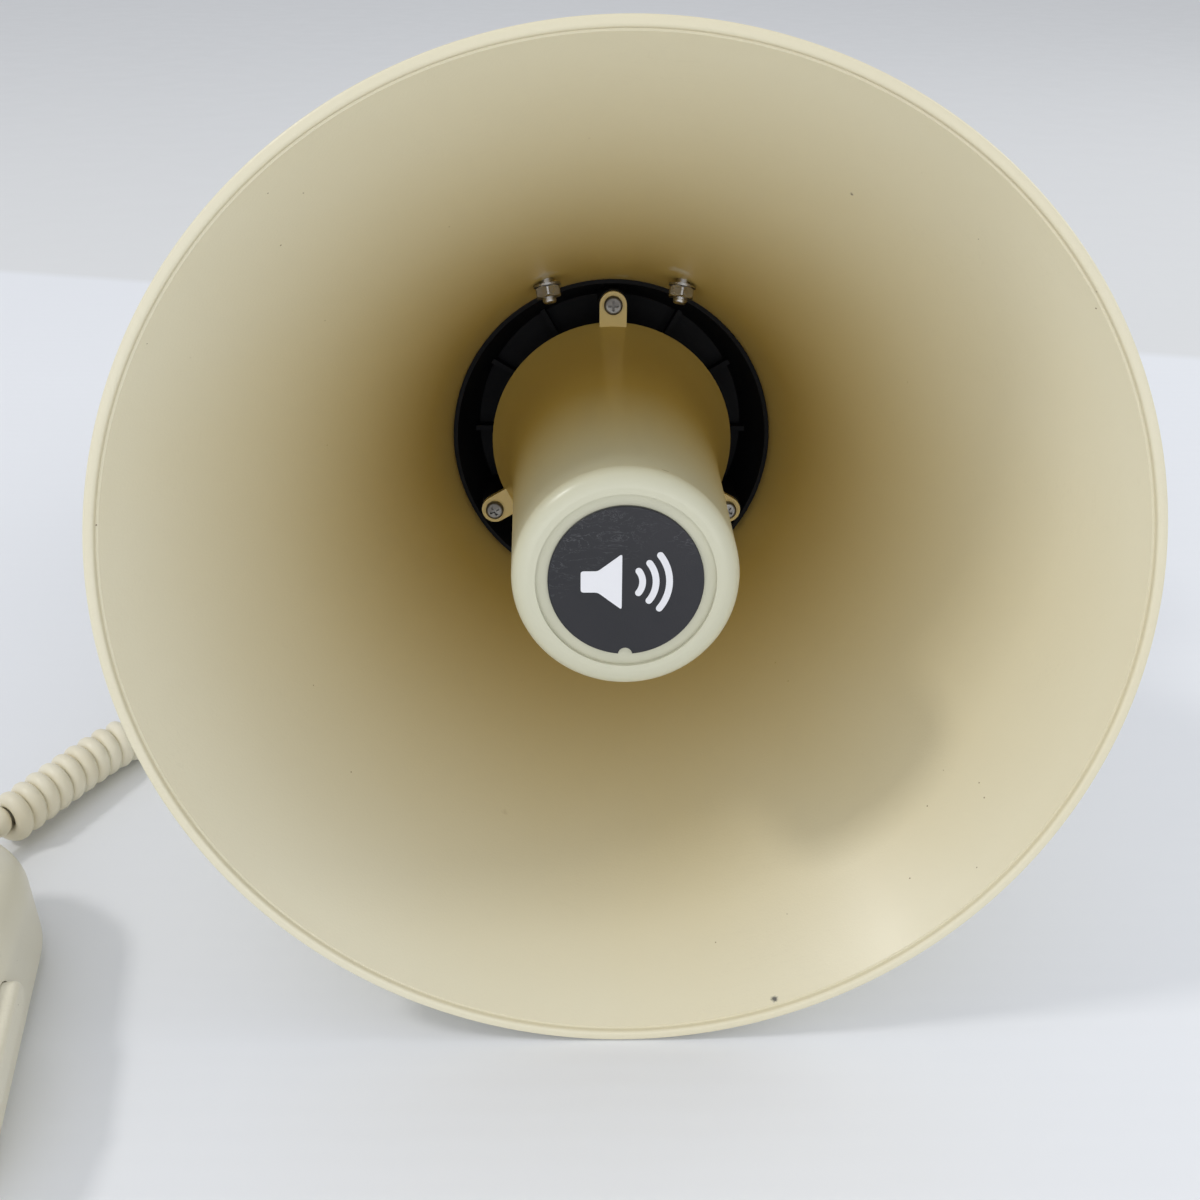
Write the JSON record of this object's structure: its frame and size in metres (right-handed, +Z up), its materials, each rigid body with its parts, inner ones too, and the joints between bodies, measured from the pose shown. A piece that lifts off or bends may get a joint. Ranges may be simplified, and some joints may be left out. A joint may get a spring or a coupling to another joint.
{
  "type": "megaphone",
  "caption": "Shoulder-carried megaphone: folded cream horn on a black amplifier case with carry handle, battery tray and a hand microphone on a curly cord.",
  "frame": {"origin": "middle of the rear foot's underside, on the table that the megaphone stands on", "axes": "+Z up, -Y the way the bell's mouth faces (it tips up 9.5 degrees from level), +X to the right of someone facing the mouth"},
  "size_m": [0.3194, 0.4338, 0.2269],
  "materials": {
    "bell_plastic": "satin moulded cream ABS, slightly yellowed",
    "badge": "dark charcoal film with a pale printed symbol",
    "plated_steel": "bright zinc plate",
    "black_plastic": "black moulded plastic",
    "case_plastic": "fine spark-eroded black ABS",
    "rubber": "matt black rubber",
    "diaphragm_resin": "phenolic-impregnated cloth",
    "copper": "enamelled copper winding",
    "ferrite": "ground ferrite",
    "board_laminate": "green solder mask",
    "standoff_brass": "turned brass",
    "transformer_iron": "varnished laminations",
    "capacitor_sleeve": "dark blue shrink sleeve",
    "bare_aluminium": "plain aluminium",
    "cell_jacket": "printed metal jacket",
    "contact_nickel": "nickel-plated spring steel",
    "lamp_red": "clear red lens",
    "mic_plastic": "satin ivory ABS",
    "cord_vinyl": "ivory vinyl"
  },
  "bodies": {
    "root": {"horn_bell": "bell_plastic", "reflector_horn": "bell_plastic", "badge_disc": "badge", "reflector_screws": "plated_steel", "driver_screws": "plated_steel", "bell_screws": "plated_steel", "case_screws": "plated_steel", "handle_bolts": "plated_steel", "handle_nuts": "plated_steel", "driver_front_plate": "plated_steel", "driver_top_plate": "plated_steel", "driver_yoke": "plated_steel", "mic_bracket": "plated_steel", "throat_bulkhead": "black_plastic", "throat_tube": "black_plastic", "driver_cover": "black_plastic", "battery_partition": "black_plastic", "volume_pot": "black_plastic", "selector_switch": "black_plastic", "dc_jack": "black_plastic", "main_case": "case_plastic", "carry_handle": "case_plastic", "control_pod": "case_plastic", "stand_foot": "case_plastic", "handle_grip": "rubber", "foot_pad": "rubber", "diaphragm_gasket": "rubber", "cord_gland": "rubber", "driver_diaphragm": "diaphragm_resin", "voice_coil": "copper", "driver_magnet": "ferrite", "amplifier_board": "board_laminate", "board_standoffs": "standoff_brass", "output_transformer": "transformer_iron", "capacitors": "capacitor_sleeve", "heat_sink": "bare_aluminium", "case_contacts": "contact_nickel", "power_lamp": "lamp_red", "cord_tail_body": "cord_vinyl", "cord_coil": "cord_vinyl", "cord_tail_mic": "cord_vinyl"},
    "mic": {"mic_front_shell": "mic_plastic", "mic_rear_shell": "mic_plastic", "mic_grille": "mic_plastic", "mic_capsule": "bare_aluminium", "talk_switch": "black_plastic", "mic_screws": "plated_steel", "mic_grommet": "rubber"},
    "talk_bar": {"talk_bar": "mic_plastic"},
    "volume_knob": {"volume_knob": "case_plastic"},
    "selector": {"selector_slider": "case_plastic"},
    "tray": {"battery_tray": "black_plastic", "battery_cells": "cell_jacket", "tray_contacts": "contact_nickel", "battery_lid": "case_plastic", "lid_seal": "rubber"},
    "thumbscrew": {"thumbscrew": "case_plastic"},
    "ring_front": {"strap_ring_front": "plated_steel"},
    "ring_rear": {"strap_ring_rear": "plated_steel"}
  },
  "joints": [
    {"name": "mic_lift", "type": "slide", "parent": "root", "child": "mic", "axis": [0, 0, 1], "range_m": [0, 0.25], "deforming": ["cord_tail_body", "cord_coil", "cord_tail_mic"]},
    {"name": "talk_bar_press", "type": "slide", "parent": "mic", "child": "talk_bar", "axis": [-0.9831, -0.1831, 0], "range_m": [0, 0.0022], "stiffness_N_per_m": 700, "springref_m": -0.0015},
    {"name": "volume_turn", "type": "hinge", "parent": "root", "child": "volume_knob", "pos_m": [-0.071, -0.0261, 0.07432], "axis": [1, 0, 0], "range_deg": [0, 280]},
    {"name": "selector_slide", "type": "slide", "parent": "root", "child": "selector", "axis": [0, 0.9863, -0.1649], "range_m": [0, 0.008]},
    {"name": "tray_slide", "type": "slide", "parent": "root", "child": "tray", "axis": [0, 0.9863, -0.1649], "range_m": [0, 0.12]},
    {"name": "thumbscrew_turn", "type": "hinge", "parent": "tray", "child": "thumbscrew", "pos_m": [0, 0.06005, 0.09845], "axis": [0, 0.9863, -0.1649], "continuous": true},
    {"name": "ring_front_swing", "type": "hinge", "parent": "root", "child": "ring_front", "pos_m": [0, -0.16611, 0.19506], "axis": [-1, 0, 0], "range_deg": [-5, 150]},
    {"name": "ring_rear_swing", "type": "hinge", "parent": "root", "child": "ring_rear", "pos_m": [0, 0.04003, 0.1606], "axis": [1, 0, 0], "range_deg": [-10, 150]}
  ]
}
